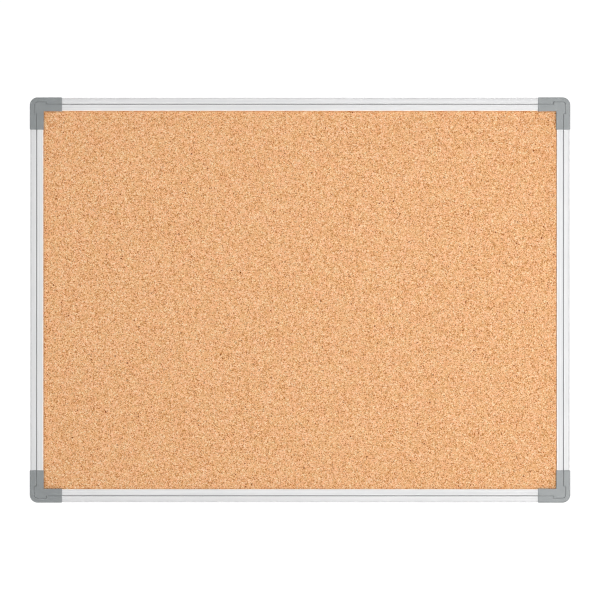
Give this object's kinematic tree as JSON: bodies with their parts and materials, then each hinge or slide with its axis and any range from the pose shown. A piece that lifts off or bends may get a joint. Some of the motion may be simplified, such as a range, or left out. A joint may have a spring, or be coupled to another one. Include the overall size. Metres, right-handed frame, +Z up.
{
  "type": "cork bulletin board",
  "caption": "Wall-mounted cork pin board in a slim aluminium frame, with moulded corners and pull-off covers that hide the wall screws.",
  "frame": {"origin": "centre of the board on the wall plane, at the middle of the four wall screw holes", "axes": "+Z up, +X to the viewer's right along the long side, +Y into the wall, so the cork faces -Y"},
  "size_m": [0.6, 0.016, 0.45],
  "materials": {
    "frame_aluminium": "satin anodised",
    "corner_plastic": "fine moulded texture",
    "cork": "sanded granulated cork",
    "softboard": "raw fibre board",
    "backing": "plain kraft paperboard",
    "screw_steel": "zinc plated"
  },
  "bodies": {
    "board": {"top_rail": "frame_aluminium", "bottom_rail": "frame_aluminium", "left_rail": "frame_aluminium", "right_rail": "frame_aluminium", "cork_sheet": "cork", "core_board": "softboard", "backing_sheet": "backing", "corner_top_left": "corner_plastic", "rail_screws_top_left": "screw_steel", "corner_top_right": "corner_plastic", "rail_screws_top_right": "screw_steel", "corner_bottom_left": "corner_plastic", "rail_screws_bottom_left": "screw_steel", "corner_bottom_right": "corner_plastic", "rail_screws_bottom_right": "screw_steel"},
    "cover_top_left": {"cover_top_left": "corner_plastic"},
    "cover_top_right": {"cover_top_right": "corner_plastic"},
    "cover_bottom_left": {"cover_bottom_left": "corner_plastic"},
    "cover_bottom_right": {"cover_bottom_right": "corner_plastic"}
  },
  "joints": [
    {"name": "cover_top_left_pull", "type": "slide", "parent": "board", "child": "cover_top_left", "axis": [0, -1, 0], "range_m": [0, 0.025]},
    {"name": "cover_top_right_pull", "type": "slide", "parent": "board", "child": "cover_top_right", "axis": [0, -1, 0], "range_m": [0, 0.025]},
    {"name": "cover_bottom_left_pull", "type": "slide", "parent": "board", "child": "cover_bottom_left", "axis": [0, -1, 0], "range_m": [0, 0.025]},
    {"name": "cover_bottom_right_pull", "type": "slide", "parent": "board", "child": "cover_bottom_right", "axis": [0, -1, 0], "range_m": [0, 0.025]}
  ]
}
